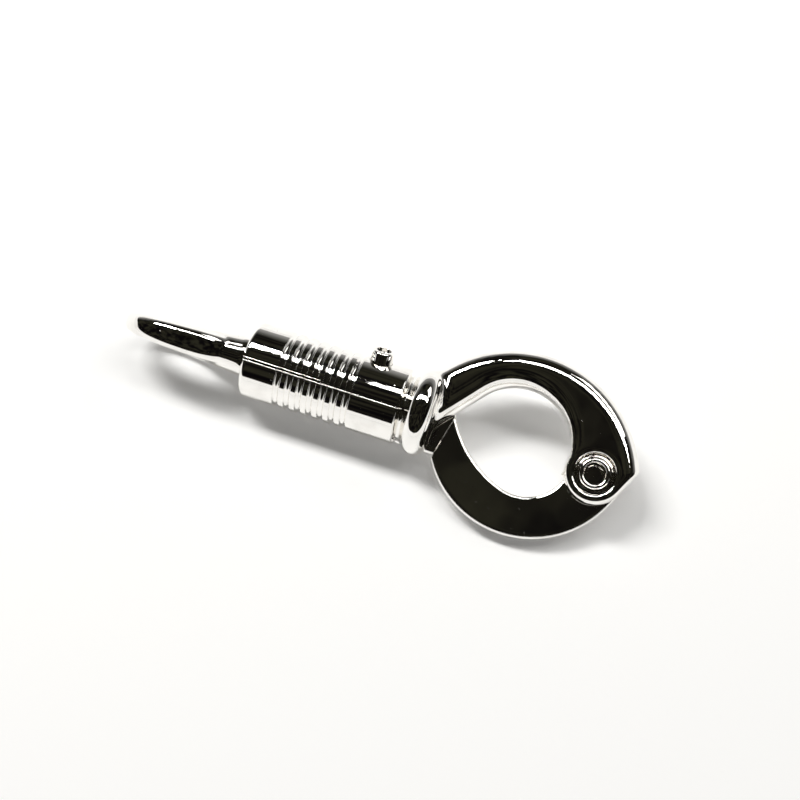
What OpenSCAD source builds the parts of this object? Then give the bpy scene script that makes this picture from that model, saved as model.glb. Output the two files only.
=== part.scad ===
// Panic snap: a quick-release snap hook with a hinged gate, a sprung locking sleeve and a swivel eye.
// It lies on its collar, the gate's rim and the edge of the eye. X runs along the snap, from the eye
// to the hook's tip. The origin is the centre of the hook's opening, on the snap's axis.

/* [Hook ring] */
// Diameter of the hook's opening
opening_d = 22.4; // [21:0.2:24]
// Width of the arm above the opening
arm_w = 7.5; // [6.8:0.1:8.2]
// Centre of the arm's outer edge, ahead of the opening's centre
arm_ahead = 1.2; // [0.5:0.1:2]
// Thickness of the arm
arm_t = 8; // [7.4:0.1:8.6]
// Rounding of the arm's outer edges
arm_edge_r = 3.2; // [2.6:0.1:3.6]
// Slope of the arm's straight root against the snap's axis
root_slope = 50; // [47:1:53]
// Distance over which the round inner edge of the arm fades out towards the rivet
edge_fade = 1.4; // [1:0.1:2]
// Rounding of the opening's edges
edge_r = 0.6; // [0.4:0.1:0.9]
// Distance of the ring's tip ahead of the rivet's axis
tip_reach = 8.4; // [8:0.1:8.8]
// Height of the tip above the snap's axis
tip_up = 1.6; // [1:0.1:2]

/* [Gate] */
// Width of the gate below the opening
gate_w = 7.3; // [6.6:0.1:8]
// Centre of the gate's outer edge, ahead of the opening's centre
gate_ahead = 2.6; // [2:0.1:3.2]
// Centre of the gate's outer edge, above the snap's axis
gate_up = 2.5; // [2:0.1:3]
// Thickness of the gate
gate_t = 4.2; // [3.8:0.1:4.6]
// Rounding of the gate's outer edges
gate_edge_r = 0.9; // [0.6:0.1:1.2]
// Distance by which the gate's inner edge has a smaller radius than the opening
bay_inset = 2.1; // [1.6:0.1:2.6]
// Centre of the gate's inner edge, ahead of the opening's centre
bay_ahead = 2.9; // [2.4:0.1:3.2]
// Centre of the gate's inner edge, below the snap's axis
bay_drop = 0.95; // [0.5:0.05:1.4]
// Radius of the inner edge's flat part towards the tail
slope_r = 22.9; // [21:0.1:25]
// Direction of the flat part's centre against the snap's axis
slope_turn = 72; // [68:1:76]
// Slope of the step between the gate's face and its tail
step_slope = 77; // [73:1:80]
// Distance of the step from the opening's edge, on the snap's axis
step_back = 2.25; // [1.8:0.05:2.6]
// Drop of the tail below the gate's face
tail_drop = 1.6; // [1.4:0.1:1.9]
// Distance of the tail's outer edge from the snap's axis
tail_low = 7.4; // [6.8:0.1:7.8]
// Distance of the tail's hidden edge from the snap's axis, under the arm's root
tail_top = 3; // [2:0.1:3.4]
// Distance of the finger's hidden edge from the snap's axis
finger_top = 1.2; // [0.6:0.1:1.6]
// Length of the tail's finger inside the sleeve
finger_l = 3; // [2.4:0.1:3.4]

/* [Gate rivet] */
// Distance of the rivet's axis from the opening's edge
rivet_web = 5.8; // [5.4:0.1:6]
// Distance of the rivet's axis below the snap's axis
rivet_drop = 1.5; // [1:0.1:2]
// Diameter of the semi-tubular rivet
rivet_d = 5.2; // [4.8:0.1:5.6]
// Bore in the rivet's upper end
rivet_bore_d = 4.2; // [3.8:0.1:4.4]
// Depth of the bore
rivet_bore_h = 5; // [3:0.1:6]
// Radius of the rivet's rolled rim
rivet_rim_r = 0.55; // [0.4:0.05:0.6]
// Height of the rivet's solid head
rivet_head_h = 0.9; // [0.6:0.1:1]
// Radius of the lobe that carries the rivet
lobe_r = 6.2; // [5.8:0.1:6.6]
// Rounding of the lobe's edge
lobe_edge_r = 1.5; // [1:0.1:1.7]
// Diameter of the recess around the rivet's rim
recess_d = 8.2; // [7.8:0.1:8.6]
// Rounding of the recess's edge
recess_edge_r = 0.4; // [0.2:0.1:0.5]
// Depth of the recess
recess_h = 1.1; // [1:0.1:1.3]

/* [Collar and shank] */
// Height of the collar above the sleeve
collar_h = 1.1; // [0.8:0.1:1.4]
// Thickness of the collar
collar_t = 5.5; // [5:0.1:6]
// Distance of the collar's middle from the opening's edge
collar_back = 8.4; // [8:0.1:8.8]
// Height of the shoulder that stops the sleeve, above the shank
shoulder_h = 1; // [0.7:0.1:1.3]
// Length of the shoulder
shoulder_l = 1.25; // [0.8:0.05:1.8]
// Diameter of the shank
shank_d = 12; // [11.4:0.1:12.6]
// Diameter of the spring's bore in the shank
chamber_d = 7.8; // [7.4:0.1:8.2]
// Length of the rolled lip that holds the eye's stem
lip_l = 1.9; // [1.5:0.1:2.5]

/* [Sleeve] */
// Wall of the sleeve
sleeve_wall = 1.92; // [1.6:0.02:2.2]
// Length of the sleeve
sleeve_l = 33.5; // [32:0.5:36]
// Travel of the sleeve towards the eye
sleeve_travel = 4; // [3.6:0.1:4.2]
// Rounding of the sleeve's rear edge
sleeve_rear_r = 1.1; // [0.8:0.1:1.4]
// Rounding of the sleeve's front edge
sleeve_front_r = 0.5; // [0.3:0.1:0.8]
// Number of grip grooves
groove_n = 7; // [3:1:8]
// Distance from groove to groove
groove_pitch = 2.43; // [2:0.01:2.6]
// First groove's distance from the sleeve's front
groove_first = 10.6; // [10:0.1:12]
// Width of a groove
groove_w = 1.3; // [0.8:0.1:1.6]
// Depth of a groove
groove_h = 0.45; // [0.2:0.05:0.6]

/* [Sleeve pin] */
// Diameter of the pin
pin_d = 2.4; // [2:0.1:2.8]
// Diameter of the pin's head
pin_head_d = 4.7; // [4:0.1:5.2]
// Height of the head above the sleeve
pin_head_h = 2.4; // [1.6:0.1:2.8]
// Diameter of the dimple in the head
pin_dimple_d = 3; // [2:0.1:3.4]
// Depth of the dimple
pin_dimple_h = 0.9; // [0.4:0.1:1.2]
// Rounding of the head's edge
pin_edge_r = 0.5; // [0.3:0.1:0.6]
// Distance of the pin from the sleeve's front
pin_back = 6.8; // [6.6:0.1:7.4]
// Direction of the pin, turned from the arm's side towards the ring's face
pin_roll = 28; // [10:1:40]

/* [Return spring] */
// Diameter of the wire
wire_d = 0.8; // [0.6:0.05:0.9]
// Number of turns
spring_turns = 7; // [5:0.5:8]

/* [Swivel eye] */
// Diameter of the neck
neck_d = 8.7; // [8:0.1:9.4]
// Length of the neck behind the sleeve
neck_out = 3.4; // [3:0.1:4]
// Length of the cone that runs from the neck into the loop
neck_cone_l = 3; // [2.4:0.1:3.4]
// Length of the neck inside the sleeve
neck_in = 4.9; // [4.4:0.1:6]
// Diameter of the stem in the lip
stem_d = 5.6; // [5:0.1:5.8]
// Length of the stem's head
stem_head_l = 3.2; // [2.6:0.1:4]
// Length of the loop behind the neck
loop_l = 24.4; // [23:0.2:27]
// Distance of the strands' middle from the snap's axis where the loop is widest
loop_half_w = 7.1; // [6.9:0.1:8]
// Share by which the loop is narrower at the neck than at the tip
loop_egg = 0.1; // [0.02:0.01:0.12]
// Radius of the strand at the neck
strand_root_r = 3.2; // [2.8:0.1:3.4]
// Radius of the strand halfway
strand_mid_r = 2.8; // [2.6:0.1:2.9]
// Radius of the strand at the tip
strand_tip_r = 2; // [1.7:0.1:2.2]

/* [Clearances] */
// Gap between parts that slide or turn on a shaft, on the radius
run_gap = 0.08; // [0.03:0.01:0.1]
// Gap between faces that move past each other
face_gap = 0.3; // [0.2:0.05:0.4]
// Gap at the lap between the gate and the arm
lap_gap = 0.2; // [0.1:0.05:0.3]

/* [Hidden] */
$fn = 96;
far = 80;
cut = 0.5;
overlap = 0.02;
overlap_turn = 2;
plated = [0.80, 0.80, 0.82];
steel = [0.55, 0.55, 0.57];

// The ring's outer edge: the arm's circle runs from its crest to the tip, and the gate's circle from
// there along a tangent
opening_r = opening_d / 2;
rivet_at = [opening_r + rivet_web, -rivet_drop];
tip_at = [rivet_at.x + tip_reach, tip_up];
arm_crest = [arm_ahead, opening_r + arm_w];
arm_outer_r = norm(arm_crest - tip_at) ^ 2 / (2 * (arm_crest.y - tip_at.y));
arm_at = [arm_ahead, arm_crest.y - arm_outer_r];
gate_at = [gate_ahead, gate_up];
gate_outer_r = opening_r + gate_w + gate_up;
tip_way = tip_at - gate_at;
run_angle = atan2(tip_way.y, tip_way.x) - acos(gate_outer_r / norm(tip_way));
tail_angle = asin((tail_low + gate_up) / gate_outer_r);

// The gate's inner edge: a bay near the rivet, and a flat part that leaves it along a tangent
bay_r = opening_r - bay_inset;
bay_at = [bay_ahead, -bay_drop];
slope_at = bay_at + (slope_r - bay_r) * [cos(slope_turn), sin(slope_turn)];

// The tangent from the tip to the rivet's lobe, and the lap around the rivet
tip_d = norm(tip_at - rivet_at);
tip_angle = atan2(tip_at.y - rivet_at.y, tip_at.x - rivet_at.x);
fairing_angle = tip_angle - acos(lobe_r / tip_d);
fairing_at = rivet_at + lobe_r * [cos(fairing_angle), sin(fairing_angle)];
opening_angle = atan2(-rivet_at.y, -rivet_at.x);
lobe_start = opening_angle
  - acos((norm(rivet_at) ^ 2 + lobe_r ^ 2 - opening_r ^ 2) / (2 * norm(rivet_at) * lobe_r));
boss_r = tip_d + lap_gap / 2;
lap_r = boss_r + face_gap;
face_z = -lap_gap / 2;
back_z = face_z - gate_t;
arm_top = arm_t / 2;
rivet_rim_at = rivet_bore_d / 2 + rivet_rim_r;

// The tail steps down from the gate's face and runs back into the sleeve
tail_z = face_z - tail_drop;
notch_z = tail_z + face_gap;
tail_rim_r = (tail_z - back_z) / 2;

// Stations along the snap's axis
collar_x = -opening_r - collar_back;
shoulder_x = collar_x - collar_t / 2 - shoulder_l;
sleeve_x = shoulder_x - face_gap / 2;
sleeve_rear_x = sleeve_x - sleeve_l;
finger_x = sleeve_x - finger_l;
notch_x = finger_x - 2 * face_gap;
tail_x = shoulder_x;
pin_x = sleeve_x - pin_back;
shank_rear_x = sleeve_rear_x + neck_in + face_gap;
lip_x = shank_rear_x + lip_l;
neck_front_x = shank_rear_x - face_gap;
neck_rear_x = sleeve_rear_x - neck_out;
stem_head_x = lip_x + face_gap;

// Radii that run in one another
sleeve_bore_r = shank_d / 2 + run_gap;
sleeve_r = sleeve_bore_r + sleeve_wall;
collar_r = sleeve_r + collar_h;
shoulder_r = shank_d / 2 + shoulder_h;
lip_r = stem_d / 2 + run_gap;
chamber_r = chamber_d / 2;
finger_r = sleeve_bore_r - face_gap;
stem_head_r = chamber_r - face_gap;
chamber_x = pin_x + pin_d / 2 + face_gap;

// Level of the spot face that the pin's head sits on
pin_seat_z = sqrt(sleeve_r ^ 2 - (pin_head_d / 2 + run_gap) ^ 2);

// The spring between the pin and the stem's head
spring_r = chamber_r - face_gap - wire_d / 2;
spring_front_x = pin_x - pin_d / 2 - face_gap / 2;
spring_rear_x = stem_head_x + stem_head_l + face_gap / 2;

// The loop's middle line, from the neck round the tip
loop_root_x = neck_rear_x - strand_root_r / 2;
loop_tip_x = neck_rear_x - loop_l + strand_tip_r;
loop_mid_x = (loop_root_x + loop_tip_x) / 2;
loop_half_l = (loop_root_x - loop_tip_x) / 2;
widest = acos((1 - sqrt(1 + 8 * loop_egg ^ 2)) / (4 * loop_egg));
loop_b = loop_half_w / (sin(widest) * (1 - loop_egg * cos(widest)));

// The strand at the neck stays thinner than the bend of its middle line
bend_r = (loop_b * (1 - loop_egg)) ^ 2 / loop_half_l;
root_r = min(strand_root_r, bend_r - 2 * face_gap);

// How the snap lies: collar, gate rim and eye all touch the same level
gate_rim_y = gate_outer_r - gate_at.y - gate_edge_r;
gate_rim_z = -back_z - gate_edge_r;
hook_roll =
  asin((collar_r - gate_edge_r) / norm([gate_rim_y, gate_rim_z])) - atan2(gate_rim_z, gate_rim_y);
eye_roll = -asin(min(1, (collar_r - strand_r(cos(widest))) / loop_half_w));

// Radius of the eye's strand where the loop's angle has this cosine
function strand_r(c) =
  strand_mid_r + c * (root_r - strand_tip_r) / 2 + c ^ 2 * ((root_r + strand_tip_r) / 2 - strand_mid_r);

// Point on the loop's egg-shaped middle line, which has the neck at angle 0, and its direction
function loop_point(a) =
  [loop_mid_x + loop_half_l * cos(a), loop_b * sin(a) * (1 - loop_egg * cos(a))];
function loop_way(a) = [-loop_half_l * sin(a), loop_b * (cos(a) - loop_egg * cos(2 * a))];

// Ring of points around the loop's middle line
function loop_ring(a, sides) =
  let (p = loop_point(a), w = loop_way(a), n = [w.y, -w.x] / norm(w), r = strand_r(cos(a)))
  [for (j = [0 : sides - 1])
    let (b = 360 * j / sides)
    [p.x + n.x * r * cos(b), p.y + n.y * r * cos(b), -r * sin(b)]];

// Ring of points around the spring's wire
function spring_ring(s, sides) =
  let (
    turn = 360 * spring_turns * s,
    x = spring_rear_x + wire_d / 2 + (spring_front_x - spring_rear_x - wire_d) * s
  )
  [for (j = [0 : sides - 1])
    let (b = 360 * j / sides, r = spring_r + wire_d / 2 * cos(b))
    [x - wire_d / 2 * sin(b), r * cos(turn), r * sin(turn)]];

// Triangles between one ring of points and another
function band(from, to, sides) =
  [for (j = [0 : sides - 1])
    let (a = from * sides, b = to * sides, k = (j + 1) % sides)
    each [[a + j, b + j, b + k], [a + j, b + k, a + k]]];

// Waste outside a rounded corner at the origin, for a solid on the side [sx, sy]
module corner_waste(r, sx, sy) {
  difference() {
    translate([sx > 0 ? -cut : -r, sy > 0 ? -cut : -r]) square(r + cut);
    translate([sx * r, sy * r]) circle(r);
  }
}

// A profile of radius and length, turned about the snap's axis
module turned() {
  rotate([0, 90, 0]) rotate_extrude() children();
}

// Places its children in the hook's plane as the hook lies
module lying_hook() {
  rotate([hook_roll, 0, 0]) children();
}

// Places its children on the side of the hook that the pin comes from, with Z along the pin
module at_pin() {
  rotate([pin_roll - 90, 0, 0]) children();
}

// Half of the space, below the line through a point at an angle
module below_line(at, angle) {
  translate([at.x, at.y, 0]) rotate([0, 0, angle]) translate([-far, -2 * far, -far]) cube(2 * far);
}

// Section of a disc with rounded edges, between two levels
module disc_section(disc_r, low, high, round_r) {
  inner_r = disc_r - round_r;
  translate([0, low]) square([inner_r, high - low]);
  translate([0, low + round_r]) square([disc_r, high - low - 2 * round_r]);
  translate([inner_r, low + round_r]) circle(round_r);
  translate([inner_r, high - round_r]) circle(round_r);
}

// Opening with rounded edges, around a point and between two levels
module opening(at, hole_r, low, high) {
  translate([at.x, at.y, 0]) rotate_extrude() {
    translate([0, low - cut]) square([hole_r, high - low + 2 * cut]);
    translate([hole_r, low]) corner_waste(edge_r, 1, 1);
    translate([hole_r, high]) corner_waste(edge_r, 1, -1);
  }
}

// Waste inside the arm, which leaves its inner edge as round as its outer edge. The round edge is full
// at the root and fades out towards the rivet.
module arm_inside_waste() {
  round_r = arm_t / 2;
  inside_r = opening_r - edge_fade;
  rotate([0, 0, root_slope]) {
    translate([0, edge_fade, 0]) rotate_extrude() difference() {
      translate([0, -arm_t]) square([inside_r + round_r, 2 * arm_t]);
      translate([inside_r + round_r, 0]) circle(round_r);
    }
    translate([-far, opening_r, 0]) rotate([90, 0, 90]) linear_extrude(far) difference() {
      translate([-far, -arm_t]) square([far + round_r, 2 * arm_t]);
      translate([round_r, 0]) circle(round_r);
    }
  }
}

// Arm from the collar's middle to its end at the rivet, where a fairing runs into the tip
module arm() {
  back = far * [cos(tip_angle), sin(tip_angle)];
  past_tip = 2 * tip_at - fairing_at;
  difference() {
    translate([arm_at.x, arm_at.y, 0]) rotate_extrude()
      disc_section(arm_outer_r, -arm_top, arm_top, arm_edge_r);
    opening([0, 0], opening_r, -arm_top, arm_top);
    arm_inside_waste();
    translate([0, 0, -far]) linear_extrude(2 * far) polygon([
      rivet_at - back, rivet_at, fairing_at, past_tip, past_tip + back, [far, -far], [-far, -far]
    ]);
    translate([collar_x - 2 * far, -far, -far]) cube(2 * far);
  }
}

// Waste outside the rounded edge of the lobe, from the opening round to the fairing, and along that
module lobe_edge_waste() {
  start = lobe_start - overlap_turn;
  sweep = fairing_angle + 360 - start;
  translate([rivet_at.x, rivet_at.y, arm_top]) rotate([0, 0, start]) rotate_extrude(angle = sweep)
    translate([lobe_r, 0]) corner_waste(lobe_edge_r, -1, -1);
  translate([fairing_at.x, fairing_at.y, arm_top]) rotate([0, 0, fairing_angle]) rotate([-90, 0, 0])
    translate([overlap, 0, -lobe_edge_r]) linear_extrude(far) corner_waste(lobe_edge_r, -1, 1);
}

// Collar, shoulder and shank, turned in one piece
module collar_and_shank() {
  round_r = collar_t / 2;
  turned() {
    translate([0, collar_x - round_r]) square([collar_r - round_r, collar_t]);
    translate([collar_r - round_r, collar_x]) circle(round_r);
    translate([0, shoulder_x]) square([shoulder_r, collar_x - shoulder_x]);
    translate([0, shank_rear_x]) square([shank_d / 2, collar_x - shank_rear_x]);
  }
}

// Bore for the spring and the stem, with the rolled lip at its rear
module chamber() {
  turned() {
    translate([0, lip_x]) square([chamber_r, chamber_x - lip_x]);
    translate([0, shank_rear_x - cut]) square([lip_r, lip_x - shank_rear_x + 2 * cut]);
  }
}

// Slot in the shank that the pin slides in
module pin_slot() {
  slot_d = pin_d + face_gap;
  at_pin() translate([pin_x - sleeve_travel, 0, 0]) {
    cylinder(d = slot_d, h = shank_d);
    translate([sleeve_travel, 0, 0]) cylinder(d = slot_d, h = shank_d);
    translate([0, -slot_d / 2, 0]) cube([sleeve_travel, slot_d, shank_d]);
  }
}

// Room for the gate's tail in the root, collar and shank, open downwards and towards the gate
module tail_notch() {
  translate([tail_x - face_gap, -far, notch_z - far]) cube([-tail_x, far + tail_top + face_gap, far]);
  translate([notch_x, -far, notch_z - far]) cube([-notch_x, far + finger_top + face_gap, far]);
}

// Recess for the rivet's rim, with a rounded edge
module rim_recess() {
  translate([rivet_at.x, rivet_at.y, arm_top]) rotate_extrude() {
    translate([0, -recess_h]) square([recess_d / 2, recess_h + cut]);
    translate([recess_d / 2, 0]) corner_waste(recess_edge_r, 1, -1);
  }
}

module hook_body() {
  color(plated) lying_hook() difference() {
    union() {
      arm();
      translate([rivet_at.x, rivet_at.y, 0]) cylinder(r = lobe_r, h = arm_top);
      collar_and_shank();
    }
    lobe_edge_waste();
    translate([rivet_at.x, rivet_at.y, -far - face_z]) cylinder(r = lap_r, h = far);
    translate([rivet_at.x, rivet_at.y, 0]) cylinder(d = rivet_d, h = far);
    rim_recess();
    chamber();
    pin_slot();
    tail_notch();
  }
}

// Disc of the gate's outline, with its straight run past the tip
module gate_disc() {
  translate([gate_at.x, gate_at.y, back_z]) linear_extrude(gate_t) {
    circle(gate_outer_r);
    rotate(run_angle) square(gate_outer_r);
  }
}

// Waste outside the rounded edges of the gate, from the tail round the disc and along the straight run
module gate_edge_waste() {
  for (side = [-1, 1])
    translate([gate_at.x, gate_at.y, side > 0 ? face_z : back_z]) {
      rotate([0, 0, tail_angle - 180]) rotate_extrude(angle = run_angle - tail_angle + 180)
        translate([gate_outer_r, 0]) corner_waste(gate_edge_r, -1, -side);
      rotate([-90, 0, run_angle]) translate([gate_outer_r + overlap, 0, -gate_edge_r])
        linear_extrude(gate_outer_r) corner_waste(gate_edge_r, -1, side);
    }
}

// Space that the gate's face fills: around the rivet, below the axis and up to the arm's root
module gate_side() {
  translate([rivet_at.x, rivet_at.y, -far]) cylinder(r = boss_r, h = 2 * far);
  translate([-far, -2 * far, -far]) cube([far + rivet_at.x, 2 * far, 2 * far]);
  below_line(rivet_at, 0);
  intersection() {
    below_line([0, (opening_r - face_gap) / cos(root_slope)], root_slope);
    translate([-2 * far, -far, -far]) cube(2 * far);
  }
}

// Gate's part of the opening: the bay, and the flat part on the tail's side of it
module gate_opening() {
  opening(bay_at, bay_r, back_z, face_z);
  intersection() {
    opening(slope_at, slope_r, back_z, face_z);
    below_line(bay_at, slope_turn + 180);
  }
}

// Tail below the arm's root, and the finger that the sleeve holds
module gate_tail() {
  rim_y = tail_rim_r - tail_low;
  translate([tail_x, 0, 0]) rotate([90, 0, 90]) linear_extrude(-opening_r - tail_x + step_back) {
    translate([rim_y, back_z]) square([tail_top - rim_y, tail_z - back_z]);
    translate([rim_y, back_z + tail_rim_r]) circle(tail_rim_r);
  }
  intersection() {
    translate([finger_x, -far, back_z]) cube([finger_l + face_gap, far + finger_top, tail_z - back_z]);
    translate([finger_x, 0, 0]) rotate([0, 90, 0]) cylinder(r = finger_r, h = finger_l + face_gap);
  }
}

module gate() {
  step_at = [-opening_r - step_back, 0];
  color(plated) lying_hook() difference() {
    union() {
      intersection() {
        gate_disc();
        translate([arm_at.x, arm_at.y, 0]) rotate_extrude()
          disc_section(arm_outer_r, back_z, face_z, gate_edge_r);
        gate_side();
        below_line(step_at, step_slope);
      }
      gate_tail();
    }
    gate_edge_waste();
    gate_opening();
    translate([rivet_at.x, rivet_at.y, -far]) cylinder(d = rivet_d + 2 * run_gap, h = 2 * far);
    translate([rivet_at.x, rivet_at.y, back_z - far + recess_h + face_gap]) cylinder(d = recess_d, h = far);
  }
}

// Semi-tubular rivet: its rolled rim is seated in the lobe's recess, its solid head is clear of the gate
module gate_rivet() {
  top_z = arm_top - recess_h + rivet_rim_r;
  head_z = back_z + recess_h;
  color(plated) lying_hook() translate([rivet_at.x, rivet_at.y, 0]) rotate_extrude() {
    difference() {
      translate([0, head_z - rivet_head_h]) square([rivet_d / 2, top_z - head_z + rivet_head_h]);
      translate([0, top_z - rivet_bore_h]) square([rivet_bore_d / 2, far]);
    }
    translate([rivet_rim_at, top_z]) circle(rivet_rim_r);
    translate([0, head_z - rivet_head_h]) square([rivet_rim_at + rivet_rim_r, rivet_head_h]);
  }
}

module sleeve() {
  groove_r = (groove_w ^ 2 / 4 + groove_h ^ 2) / (2 * groove_h);
  color(plated) lying_hook() difference() {
    turned() difference() {
      translate([sleeve_bore_r, sleeve_rear_x]) square([sleeve_wall, sleeve_l]);
      translate([sleeve_r, sleeve_rear_x]) corner_waste(sleeve_rear_r, -1, 1);
      translate([sleeve_r, sleeve_x]) corner_waste(sleeve_front_r, -1, -1);
      for (i = [0 : groove_n - 1])
        translate([sleeve_r + groove_r - groove_h, sleeve_x - groove_first - i * groove_pitch])
          circle(groove_r);
    }
    at_pin() translate([pin_x, 0, 0]) cylinder(d = pin_d, h = 2 * sleeve_r);
    at_pin() translate([pin_x, 0, pin_seat_z]) cylinder(d = pin_head_d + 2 * run_gap, h = sleeve_r);
  }
}

// Headed pin with a dimple: its foot reaches across the bore, so that the spring bears on it
module sleeve_pin() {
  foot_z = -chamber_r + 2 * face_gap;
  top_z = sleeve_r + pin_head_h;
  color(plated) lying_hook() at_pin() translate([pin_x, 0, 0]) rotate_extrude() difference() {
    union() {
      translate([0, foot_z]) square([pin_d / 2, top_z - foot_z]);
      translate([0, pin_seat_z]) square([pin_head_d / 2, top_z - pin_seat_z]);
    }
    translate([pin_head_d / 2, top_z]) corner_waste(pin_edge_r, -1, -1);
    translate([0, top_z - pin_dimple_h]) square([pin_dimple_d / 2, far]);
  }
}

module return_spring() {
  sides = 8;
  turn_rings = 14;
  rings = ceil(spring_turns * turn_rings);
  points = [for (i = [0 : rings]) each spring_ring(i / rings, sides)];
  faces = [
    for (i = [0 : rings - 1]) each band(i, i + 1, sides),
    [for (j = [0 : sides - 1]) j],
    [for (j = [sides - 1 : -1 : 0]) rings * sides + j]
  ];
  color(steel) lying_hook() polyhedron(points, faces);
}

module swivel_eye() {
  sides = 16;
  rings = 60;
  points = [for (i = [0 : rings - 1]) each loop_ring(360 * i / rings, sides)];
  faces = [for (i = [0 : rings - 1]) each band(i, (i + 1) % rings, sides)];
  color(plated) rotate([eye_roll, 0, 0]) {
    polyhedron(points, faces);
    turned() {
      translate([0, stem_head_x]) square([stem_head_r, stem_head_l]);
      translate([0, neck_front_x]) square([stem_d / 2, stem_head_x - neck_front_x]);
      polygon([
        [0, neck_front_x], [neck_d / 2, neck_front_x], [neck_d / 2, neck_rear_x],
        [strand_mid_r, neck_rear_x - neck_cone_l], [0, neck_rear_x - neck_cone_l]
      ]);
    }
  }
}

hook_body();
gate();
gate_rivet();
sleeve();
sleeve_pin();
return_spring();
swivel_eye();
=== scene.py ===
import math

import bmesh
import bpy
from mathutils import Matrix, Vector


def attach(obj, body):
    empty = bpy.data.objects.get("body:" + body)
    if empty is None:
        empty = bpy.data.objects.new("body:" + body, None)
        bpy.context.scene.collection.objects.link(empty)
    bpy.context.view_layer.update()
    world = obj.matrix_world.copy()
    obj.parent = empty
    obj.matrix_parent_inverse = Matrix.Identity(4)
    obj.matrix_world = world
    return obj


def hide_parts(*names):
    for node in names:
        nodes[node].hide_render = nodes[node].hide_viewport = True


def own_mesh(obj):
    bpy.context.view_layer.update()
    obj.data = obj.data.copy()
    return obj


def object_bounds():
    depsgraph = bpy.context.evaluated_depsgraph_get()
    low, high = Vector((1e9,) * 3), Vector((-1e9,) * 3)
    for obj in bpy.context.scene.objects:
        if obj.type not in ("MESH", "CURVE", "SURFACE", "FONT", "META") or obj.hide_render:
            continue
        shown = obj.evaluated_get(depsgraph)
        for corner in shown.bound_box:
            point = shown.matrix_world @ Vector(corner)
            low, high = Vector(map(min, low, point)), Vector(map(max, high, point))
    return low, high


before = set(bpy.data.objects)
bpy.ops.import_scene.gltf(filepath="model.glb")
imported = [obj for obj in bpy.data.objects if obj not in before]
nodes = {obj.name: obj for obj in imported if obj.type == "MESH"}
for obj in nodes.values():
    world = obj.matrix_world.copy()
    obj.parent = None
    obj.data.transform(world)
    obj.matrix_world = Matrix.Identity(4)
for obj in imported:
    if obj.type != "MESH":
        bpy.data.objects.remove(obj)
cad_low, cad_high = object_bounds()


# Hook body: the arm, collar and hollow shank are one casting in zinc or brass.
# It is tumbled, polished by hand and plated with bright nickel, so its form is a little wavy,
# its edges are worn round, and the corner between collar and arm is soft.

# Sizes are in millimetres, with X along the snap, which lies rolled about it on the table.
MM = 0.001
HOOK_ROLL = math.radians(16.289)
HOOK_VOXEL = 0.29
TUMBLING = 24
WELD = 0.001
ROOT_VOXEL = 0.3
ROOT_TUMBLING = 200
ROOT_REAR = -21.0
ROOT_FRONT = -10.0
ROOT_SIDE = 2.0
ROOT_UNDERSIDE = 0.5

BRIGHT_NICKEL = (0.93, 0.915, 0.885, 1)
DULL_NICKEL = (0.70, 0.68, 0.64, 1)
POLISH = 0.03
HAZE_FROM = 0.42
HAZE_TO = 0.75
HAZE_TINT = 0.35
PIT_RIM = 0.07
PIT_FLOOR = 0.03
PIT_DEPTH = 0.012
PIT_TINT = 0.6
PIT_ROUGHNESS = 0.2


class Wire:
    """A socket in a node tree, for use in expressions. An output is given by its name or number."""

    def __init__(self, tree, socket=None):
        self.tree = tree
        self.socket = socket

    def node(self, kind, settings=None, sockets=None, out=0):
        made = self.tree.nodes.new(kind)
        for name, value in (settings or {}).items():
            setattr(made, name, value)
        for name, value in (sockets or {}).items():
            if isinstance(value, Wire):
                self.tree.links.new(value.socket, made.inputs[name])
            else:
                made.inputs[name].default_value = value
        return Wire(self.tree, made.outputs[out] if made.outputs else None)

    def maths(self, operation, first, second=0.0):
        return self.node("ShaderNodeMath", {"operation": operation}, {0: first, 1: second})

    def ramp(self, start, end):
        """0 at start and below it, 1 at end and beyond it; start may be the larger."""
        return self.node(
            "ShaderNodeMapRange",
            {"interpolation_type": "SMOOTHSTEP"},
            {"Value": self, "From Min": start, "From Max": end},
        )

    def dot(self, way):
        return self.node(
            "ShaderNodeVectorMath", {"operation": "DOT_PRODUCT"}, {0: self, 1: way}, out="Value"
        )

    def __add__(self, other):
        return self.maths("ADD", self, other)

    def __radd__(self, other):
        return self.maths("ADD", other, self)

    def __sub__(self, other):
        return self.maths("SUBTRACT", self, other)

    def __rsub__(self, other):
        return self.maths("SUBTRACT", other, self)

    def __mul__(self, other):
        return self.maths("MULTIPLY", self, other)

    def __rmul__(self, other):
        return self.maths("MULTIPLY", other, self)

    def __abs__(self):
        return self.maths("ABSOLUTE", self)


def new_tree(name):
    """An empty material, and the wire that its nodes are made from."""
    material = bpy.data.materials.new(name)
    material.use_nodes = True
    material.node_tree.nodes.clear()
    return material, Wire(material.node_tree)


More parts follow.
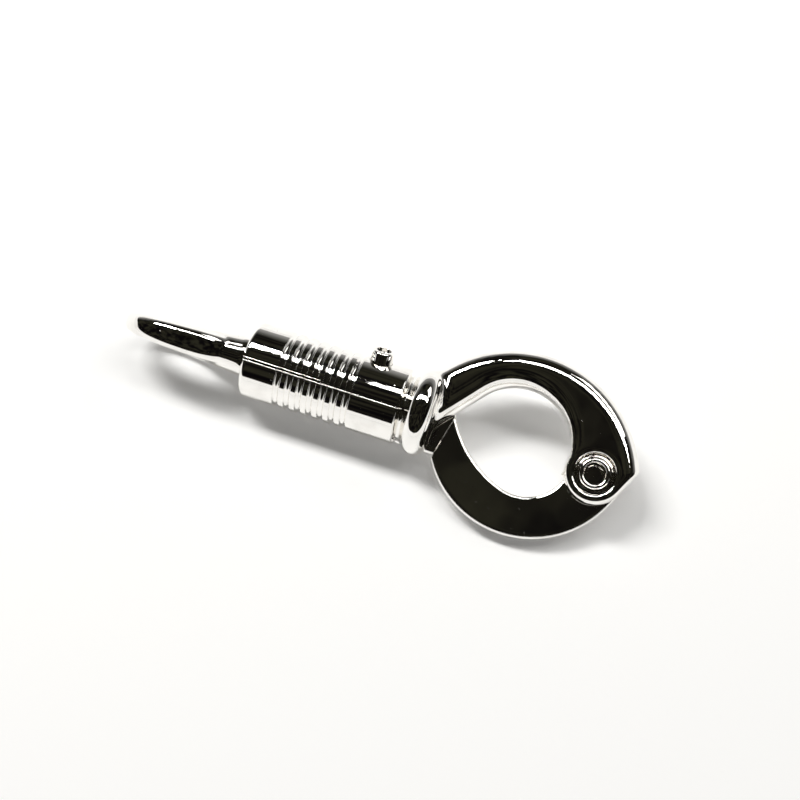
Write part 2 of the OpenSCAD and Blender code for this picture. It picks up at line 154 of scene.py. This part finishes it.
def nickel(name, ripple, haze, pits, seed, worn=0.0, relief=None):
    """Bright nickel plate: a slight ripple, hazy patches, small pits and worn edges.

    ripple and worn, an edge's radius, are in millimetres. haze is the roughness of a patch, pits
    how strong the pits are, and seed moves the pattern. relief adds heights at places on the piece.
    """
    material, wire = new_tree(name)
    place = wire.node("ShaderNodeTexCoord", out="Object")
    moved = wire.node(
        "ShaderNodeVectorMath", {"operation": "ADD"}, {0: place, 1: (seed, 2 * seed, 0)}
    )
    swell = wire.node("ShaderNodeTexNoise", None, {"Vector": moved, "Scale": 120, "Detail": 1})
    patch = wire.node("ShaderNodeTexNoise", None, {"Vector": moved, "Scale": 260, "Detail": 4})
    speck = wire.node("ShaderNodeTexVoronoi", None, {"Vector": moved, "Scale": 420})
    pit = speck.ramp(PIT_RIM, PIT_FLOOR) * pits
    dull = patch.ramp(HAZE_FROM, HAZE_TO)
    tone = wire.node(
        "ShaderNodeMix",
        {"data_type": "RGBA"},
        {"Factor": dull * HAZE_TINT + pit * PIT_TINT, "A": BRIGHT_NICKEL, "B": DULL_NICKEL},
        out="Result",
    )
    height = swell * ripple - pit * PIT_DEPTH
    if relief:
        height = height + relief(place)
    edge = wire.node("ShaderNodeBevel", {"samples": 6}, {"Radius": worn * MM})
    bump = wire.node(
        "ShaderNodeBump", None, {"Height": height, "Strength": 1, "Distance": MM, "Normal": edge}
    )
    metal = wire.node(
        "ShaderNodeBsdfPrincipled",
        None,
        {
            "Base Color": tone,
            "Metallic": 1,
            "Roughness": POLISH + dull * haze + pit * PIT_ROUGHNESS,
            "Normal": bump,
        },
    )
    wire.node("ShaderNodeOutputMaterial", None, {"Surface": metal})
    return material


def plate(piece, material):
    """Gives a piece its finish, in place of any that it has."""
    piece.data.materials.clear()
    piece.data.materials.append(material)


def cast(piece, voxel, rounds):
    """Makes one skin of a piece's solids, with the soft edges and corners of a tumbled casting."""
    skin = piece.modifiers.new("one_casting", "REMESH")
    skin.mode = "VOXEL"
    skin.voxel_size = voxel * MM
    skin.use_smooth_shade = True
    tumbled = piece.modifiers.new("tumbled", "SMOOTH")
    tumbled.factor = 0.5
    tumbled.iterations = rounds


def as_piece(shape, name):
    """Makes an object of a finished shape."""
    mesh = bpy.data.meshes.new(name)
    shape.to_mesh(mesh)
    shape.free()
    mesh.shade_smooth()
    made = bpy.data.objects.new(name, mesh)
    bpy.context.scene.collection.objects.link(made)
    return made


def hook_casting():
    """A merged copy of the hook's solid."""
    shape = bmesh.new()
    shape.from_mesh(nodes["hook_body"].data)
    bmesh.ops.remove_doubles(shape, verts=shape.verts, dist=WELD * MM)
    return shape


# A copy that is tumbled far longer fills the corner at the arm's root. It is cut to that block.
pattern = as_piece(hook_casting(), "root_pattern")
cast(pattern, ROOT_VOXEL, ROOT_TUMBLING)
worn_root = bpy.data.meshes.new_from_object(
    pattern.evaluated_get(bpy.context.evaluated_depsgraph_get())
)
bpy.data.meshes.remove(pattern.data)
root_shape = bmesh.new()
root_shape.from_mesh(worn_root)
hook_stance = Matrix.Rotation(HOOK_ROLL, 3, "X")
for corner, outwards in [
    ((ROOT_REAR, 0, 0), (-1, 0, 0)),
    ((ROOT_FRONT, 0, 0), (1, 0, 0)),
    ((0, ROOT_SIDE, 0), (0, -1, 0)),
    ((0, 0, ROOT_UNDERSIDE), (0, 0, -1)),
]:
    cut = bmesh.ops.bisect_plane(
        root_shape,
        geom=root_shape.verts[:] + root_shape.edges[:] + root_shape.faces[:],
        plane_co=hook_stance @ Vector(corner) * MM,
        plane_no=hook_stance @ Vector(outwards),
        clear_outer=True,
    )
    rim = [edge for edge in cut["geom_cut"] if isinstance(edge, bmesh.types.BMEdge)]
    bmesh.ops.holes_fill(root_shape, edges=rim)
root_shape.to_mesh(worn_root)
root_shape.free()
hook_shape = hook_casting()
hook_shape.from_mesh(worn_root)
bpy.data.meshes.remove(worn_root)
hook = as_piece(hook_shape, "cast_hook")
cast(hook, HOOK_VOXEL, TUMBLING)
plate(hook, nickel("nickel_on_hook", ripple=0.10, haze=0.05, pits=1.0, seed=0.0))
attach(hook, "hook")
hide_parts("hook_body")


# Swivel eye: an egg-shaped loop cast in one piece with its round neck and stem, plated as the hook.
# The stem turns in the shank's rear end, which is rolled in behind the stem's head.
EYE_ROLL = math.radians(-63.622)
EYE_VOXEL = 0.22

# The loop is an oval, narrower at the neck, and its strand is thicker there.
LOOP_MID = -72.65
LOOP_HALF = 10.4
LOOP_SIDE = 7.065
LOOP_EGG = 0.1
LOOP_STEPS = 96
STRAND_R = 2.8
STRAND_TAPER = 0.6
STRAND_WAIST = 0.2
STRAND_FLATNESS = 3.2
STRAND_TRIM = 0.97
ROUND_SEGMENTS = 48

# Two shoulders run from the neck into the loop's sides.
SHOULDER_FOOT = Vector((-58.8, 0, 0))
SHOULDER_FOOT_R = 4.2
SHOULDER_HEAD_X = -69.96
SHOULDER_HEAD_Y = 6.6
SHOULDER_HEAD_R = 2.85

# The stem and neck are turned: places along the snap and radii, from the head to inside the loop.
STEM_STEPS = 64
STEM_OUTLINE = [
    (-46.65, 0),
    (-46.65, 3.6),
    (-49.85, 3.6),
    (-49.85, 2.8),
    (-52.35, 2.8),
    (-52.35, 4.35),
    (-58.5, 4.35),
    (-61.5, 4.1),
    (-64, 3.5),
    (-65.6, 2.7),
    (-66.2, 1.4),
    (-66.3, 0),
]


def facing(way):
    """The turn that points a shape's Z along a way."""
    return way.to_track_quat("Z", "Y").to_matrix().to_4x4()


def finished(shape, name, roll):
    """Turns a shape in millimetres into an object in metres, rolled about the snap's length."""
    bmesh.ops.remove_doubles(shape, verts=shape.verts, dist=WELD)
    bmesh.ops.recalc_face_normals(shape, faces=shape.faces)
    bmesh.ops.rotate(shape, verts=shape.verts, cent=(0, 0, 0), matrix=Matrix.Rotation(roll, 3, "X"))
    bmesh.ops.scale(shape, verts=shape.verts, vec=(MM, MM, MM))
    return as_piece(shape, name)


eye_shape = bmesh.new()
rings = []
for step in range(LOOP_STEPS):
    turn = 2 * math.pi * step / LOOP_STEPS
    ahead = math.cos(turn)
    aside = math.sin(turn)
    centre = Vector((LOOP_MID + LOOP_HALF * ahead, LOOP_SIDE * aside * (1 - LOOP_EGG * ahead), 0))
    along = Vector((-LOOP_HALF * aside, LOOP_SIDE * (ahead - LOOP_EGG * math.cos(2 * turn)), 0))
    ring = bmesh.ops.create_circle(
        eye_shape,
        segments=ROUND_SEGMENTS,
        radius=STRAND_R + STRAND_TAPER * ahead - STRAND_WAIST * ahead * ahead,
    )["verts"]
    for vert in ring:
        way = vert.co.normalized()
        spread = abs(way.x) ** STRAND_FLATNESS + abs(way.y) ** STRAND_FLATNESS
        vert.co *= STRAND_TRIM * spread ** (-1 / STRAND_FLATNESS)
    bmesh.ops.transform(eye_shape, matrix=Matrix.Translation(centre) @ facing(along), verts=ring)
    rings.append(list({edge for vert in ring for edge in vert.link_edges}))
for near, far in zip(rings, rings[1:] + rings[:1]):
    bmesh.ops.bridge_loops(eye_shape, edges=near + far)
for side in (-1, 1):
    shoulder_head = Vector((SHOULDER_HEAD_X, side * SHOULDER_HEAD_Y, 0))
    shoulder = shoulder_head - SHOULDER_FOOT
    bmesh.ops.create_cone(
        eye_shape,
        cap_ends=True,
        segments=ROUND_SEGMENTS,
        radius1=SHOULDER_FOOT_R,
        radius2=SHOULDER_HEAD_R,
        depth=shoulder.length,
        matrix=Matrix.Translation((SHOULDER_FOOT + shoulder_head) / 2) @ facing(shoulder),
    )
profile = [eye_shape.verts.new((station, 0, radius)) for station, radius in STEM_OUTLINE]
lines = [eye_shape.edges.new(pair) for pair in zip(profile, profile[1:])]
bmesh.ops.spin(
    eye_shape,
    geom=profile + lines,
    cent=(0, 0, 0),
    axis=(1, 0, 0),
    angle=2 * math.pi,
    steps=STEM_STEPS,
    use_merge=True,
)
eye = finished(eye_shape, "cast_eye", EYE_ROLL)
cast(eye, EYE_VOXEL, TUMBLING)
plate(eye, nickel("nickel_on_eye", ripple=0.3, haze=0.06, pits=2.0, seed=0.68))
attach(eye, "eye")
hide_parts("swivel_eye")


# Return spring: a coil of drawn steel wire in the shank's bore.
# It is held between the stem's head and the pin, and shortens as the sleeve is drawn back.
COIL_START = -46.1
COIL_END = -32.3
COIL_R = 3.2
COIL_TURNS = 7
STEPS_PER_TURN = 28
WIRE_R = 0.4
WIRE_SEGMENTS = 10
coil_shape = bmesh.new()
coil_steps = COIL_TURNS * STEPS_PER_TURN
bmesh.ops.create_circle(
    coil_shape,
    cap_ends=True,
    segments=WIRE_SEGMENTS,
    radius=WIRE_R,
    matrix=Matrix.Translation((COIL_START, COIL_R, 0)),
)
bmesh.ops.spin(
    coil_shape,
    geom=coil_shape.verts[:] + coil_shape.edges[:] + coil_shape.faces[:],
    cent=(0, 0, 0),
    axis=(1, 0, 0),
    dvec=((COIL_END - COIL_START) / coil_steps, 0, 0),
    angle=2 * math.pi * COIL_TURNS,
    steps=coil_steps,
)
spring = finished(coil_shape, "spring_coil", HOOK_ROLL)
plate(spring, nickel("spring_wire", ripple=0.0, haze=0.25, pits=0.5, seed=0.44))
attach(spring, "hook")
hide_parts("return_spring")
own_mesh(spring)


# Sleeve: a die-cast and plated tube with seven finger grooves, which locks the gate's tail.
# The die's two halves leave a fine raised line along it, doubled towards the rear.
SEAM = math.radians(62)
SEAM_HALF_WIDTH = 0.1
SEAM_HEIGHT = 0.045
SECOND_SEAM_OFFSET = 0.6
SECOND_SEAM_HEIGHT = 0.03
SECOND_SEAM_FROM = -39
SECOND_SEAM_TO = -41


def die_line(place):
    """The height of the die's line, in millimetres."""
    across = place.dot((0, math.sin(SEAM) / MM, math.cos(SEAM) / MM))
    behind = place.dot((1 / MM, 0, 0)).ramp(SECOND_SEAM_FROM, SECOND_SEAM_TO)
    first = abs(across).ramp(SEAM_HALF_WIDTH, 0.0)
    second = abs(across - SECOND_SEAM_OFFSET).ramp(SEAM_HALF_WIDTH, 0.0) * behind
    return first * SEAM_HEIGHT + second * SECOND_SEAM_HEIGHT


sleeve_plate = nickel(
    "nickel_on_sleeve", ripple=0.07, haze=0.05, pits=1.0, seed=0.83, worn=0.25, relief=die_line
)
plate(nodes["sleeve"], sleeve_plate)


# Sleeve pin: a headed steel pin, plated and pressed through the sleeve.
# It slides in the shank's slot, and its dimpled head stands clear of the sleeve.
pin_plate = nickel("nickel_on_pin", ripple=0.04, haze=0.06, pits=1.0, seed=0.12, worn=0.2)
plate(nodes["sleeve_pin"], pin_plate)


# Gate: the lower half of the ring, a flat casting of the same plated metal.
# It hinges on the rivet, and its tail lies under the arm's root and in the sleeve.
gate_plate = nickel("nickel_on_gate", ripple=0.05, haze=0.04, pits=1.0, seed=0.31, worn=0.55)
plate(nodes["gate"], gate_plate)


# Rivet: a plated semi-tubular rivet through the arm's lobe and the gate.
# Its drilled end is rolled over into the lobe's recess.
rivet_plate = nickel("nickel_on_rivet", ripple=0.04, haze=0.08, pits=1.0, seed=0.57, worn=0.3)
plate(nodes["gate_rivet"], rivet_plate)


# Table: a sheet of white paper under the snap, which takes its soft shadow.
# The camera and the metal see it a little brighter than the lamps make it, and plain white far out.
PAPER_HALF = 3.0
PAPER_MATT = (0.93, 0.928, 0.922, 1)
PAPER_WHITE = (1, 0.998, 0.99, 1)
PAPER_LIFT = 0.12
WHITE_FROM = 0.12
WHITE_TO = 0.4
paper_shape = bmesh.new()
bmesh.ops.create_grid(paper_shape, x_segments=1, y_segments=1, size=PAPER_HALF)
bmesh.ops.translate(paper_shape, verts=paper_shape.verts, vec=(0, 0, cad_low.z))
paper = as_piece(paper_shape, "paper")
paper_finish, wire = new_tree("white_paper")
spot = wire.node("ShaderNodeTexCoord", out="Object")
away = wire.node("ShaderNodeVectorMath", {"operation": "LENGTH"}, {0: spot}, out="Value")
seen = (
    wire.node("ShaderNodeLightPath", out="Is Camera Ray")
    + wire.node("ShaderNodeLightPath", out="Is Glossy Ray")
    + wire.node("ShaderNodeLightPath", out="Is Transmission Ray")
)
matt = wire.node("ShaderNodeBsdfDiffuse", None, {"Color": PAPER_MATT})
white = wire.node("ShaderNodeEmission", None, {"Color": PAPER_WHITE, "Strength": 1.0})
unlit = wire.node("ShaderNodeEmission", None, {"Color": (0, 0, 0, 1)})
glow = wire.node("ShaderNodeMixShader", None, {0: seen * PAPER_LIFT, 1: unlit, 2: white})
lifted = wire.node("ShaderNodeAddShader", None, {0: matt, 1: glow})
far_out = away.ramp(WHITE_FROM, WHITE_TO) * seen
shown = wire.node("ShaderNodeMixShader", None, {0: far_out, 1: lifted, 2: white})
wire.node("ShaderNodeOutputMaterial", None, {"Surface": shown})
plate(paper, paper_finish)


# Room: dark and a little uneven around the table, so that the bright plate has black in it.
# A grey backdrop stands on the far side, and all round the room is white just above the table.
# Heights and sides are parts of a unit way out from the snap.
WALL_BLACK = (0.003, 0.0025, 0.003, 1)
WALL_BROWN = (0.022, 0.021, 0.014, 1)
BROWN_FROM = 0.4
BROWN_TO = 0.65
ROOM_WHITE = (0.97, 0.96, 0.94, 1)
BACKDROP_TOP = 0.6
BACKDROP_EDGE = 0.1
BACKDROP_FULL = 0.6
BACKDROP_LEVEL = 0.4
SKIRTING_TOP = 0.13
SKIRTING_FULL = 0.11
world = bpy.data.worlds.new("dark_room")
world.use_nodes = True
world.node_tree.nodes.clear()
bpy.context.scene.world = world
wire = Wire(world.node_tree)
outlook = wire.node("ShaderNodeTexCoord", out="Generated")
level = outlook.dot((0, 0, 1))
far_side = outlook.dot((0, 1, 0)).ramp(BACKDROP_EDGE, BACKDROP_FULL)
backdrop = level.ramp(BACKDROP_TOP, 0.0) * far_side
skirting = level.ramp(SKIRTING_TOP, SKIRTING_FULL)
clutter = wire.node("ShaderNodeTexNoise", None, {"Vector": outlook, "Scale": 6, "Detail": 3})
walls = wire.node(
    "ShaderNodeMix",
    {"data_type": "RGBA"},
    {"Factor": clutter.ramp(BROWN_FROM, BROWN_TO), "A": WALL_BLACK, "B": WALL_BROWN},
    out="Result",
)
whiteness = wire.maths("MAXIMUM", backdrop * BACKDROP_LEVEL, skirting)
room = wire.node(
    "ShaderNodeMix",
    {"data_type": "RGBA"},
    {"Factor": whiteness, "A": walls, "B": ROOM_WHITE},
    out="Result",
)
surroundings = wire.node("ShaderNodeBackground", None, {"Color": room, "Strength": 1})
wire.node("ShaderNodeOutputWorld", None, {"Surface": surroundings})


# Lamps: two long soft boxes end to end over the table, with a gap between them.
# They make the long lights on the arm and the sleeve, and the left one makes the shadow.
# A weak warm lamp stands on the far right.
BOX_SIDE = 0.30
BOX_HEIGHT = 1.0
BOX_DEPTH = 0.2
BOX_COLOUR = (1, 0.995, 0.98)
DOWN = Vector((0, 0, -1))
WARM_PLACE = Vector((0.41, 0.56, 0.65))
WARM_WIDTH = 0.5
WARM_DEPTH = 0.25
WARM_POWER = 0.9
WARM_COLOUR = (1, 0.985, 0.96)


def soft_box(name, place, aim, width, depth, power, colour):
    """A rectangular lamp at a place, facing along its aim."""
    data = bpy.data.lights.new(name, "AREA")
    data.shape = "RECTANGLE"
    data.size = width
    data.size_y = depth
    data.energy = power
    data.color = colour
    made = bpy.data.objects.new(name, data)
    made.location = place
    made.rotation_mode = "QUATERNION"
    made.rotation_quaternion = aim.to_track_quat("-Z", "Y")
    bpy.context.scene.collection.objects.link(made)


for name, middle, width, power in [("left_box", -0.65, 0.7, 12.6), ("right_box", 0.305, 1.0, 4.4)]:
    soft_box(name, (middle, BOX_SIDE, BOX_HEIGHT), DOWN, width, BOX_DEPTH, power, BOX_COLOUR)
soft_box("warm_lamp", WARM_PLACE, -WARM_PLACE, WARM_WIDTH, WARM_DEPTH, WARM_POWER, WARM_COLOUR)


# Camera: above the near right side, at the photograph's angle and in its frame.
# Its target and distance were fitted to the snap's outline, and are in metres.
AZIMUTH = math.radians(19.25)
ELEVATION = math.radians(65.4)
TARGET = Vector((-0.02501, 0.00121, 0))
DISTANCE = 0.28
camera_data = bpy.data.cameras.new("camera")
camera_data.lens = 61.6
camera_data.sensor_width = 36
camera_data.clip_start = 0.01
camera_data.clip_end = 20
camera = bpy.data.objects.new("camera", camera_data)
back = Vector((
    math.sin(AZIMUTH) * math.cos(ELEVATION),
    -math.cos(AZIMUTH) * math.cos(ELEVATION),
    math.sin(ELEVATION),
))
camera.location = TARGET + back * DISTANCE
camera.rotation_mode = "QUATERNION"
camera.rotation_quaternion = (-back).to_track_quat("-Z", "Y")
bpy.context.scene.collection.objects.link(camera)
bpy.context.scene.camera = camera
bpy.context.scene.view_settings.view_transform = "Standard"
